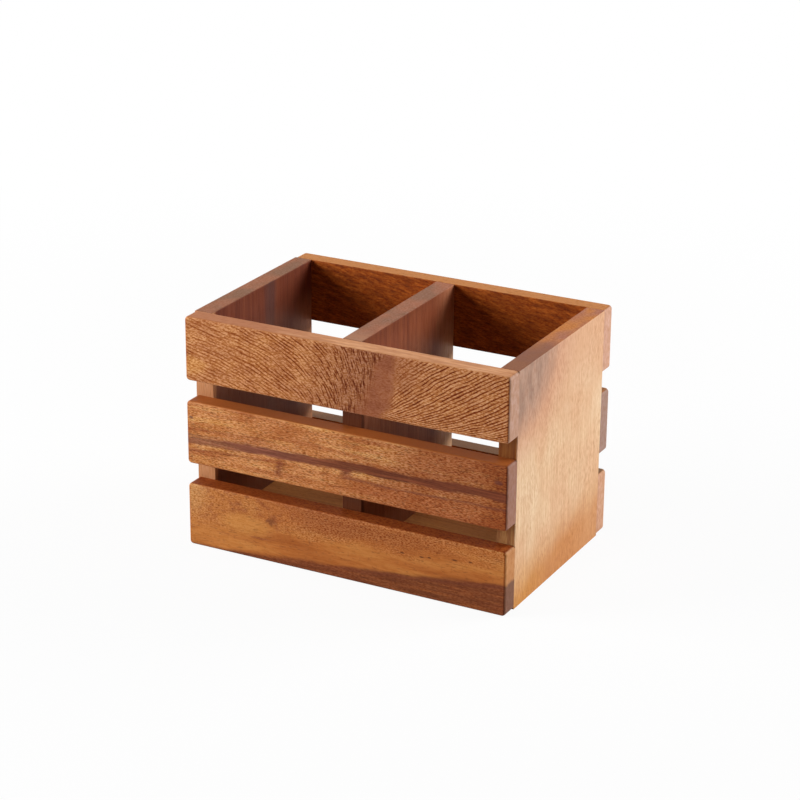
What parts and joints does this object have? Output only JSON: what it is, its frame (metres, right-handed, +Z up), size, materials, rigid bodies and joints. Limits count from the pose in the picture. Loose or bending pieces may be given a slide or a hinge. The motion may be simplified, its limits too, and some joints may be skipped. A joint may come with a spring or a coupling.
{
  "type": "cutlery holder",
  "caption": "Open-topped slatted wooden cutlery holder with side-by-side compartments, built of end panels, a divider, a floor board and horizontal slats.",
  "frame": {"origin": "centre of the footprint, on the surface that the holder stands on", "axes": "+X along the slats, to the right as seen from the front; +Y from front to back; +Z up"},
  "size_m": [0.18, 0.12, 0.124],
  "materials": {
    "panel_wood": "satin oiled",
    "slat_wood": "satin oiled",
    "floor_wood": "satin oiled",
    "dowel_wood": "plain, glued in"
  },
  "bodies": {
    "root": {"left_end_panel": "panel_wood", "right_end_panel": "panel_wood", "divider_panel": "panel_wood", "floor_board": "floor_wood", "front_bottom_slat": "slat_wood", "front_middle_slat": "slat_wood", "front_top_slat": "slat_wood", "back_bottom_slat": "slat_wood", "back_middle_slat": "slat_wood", "back_top_slat": "slat_wood", "front_bottom_slat_dowels": "dowel_wood", "front_middle_slat_dowels": "dowel_wood", "front_top_slat_dowels": "dowel_wood", "back_bottom_slat_dowels": "dowel_wood", "back_middle_slat_dowels": "dowel_wood", "back_top_slat_dowels": "dowel_wood"}
  },
  "joints": []
}
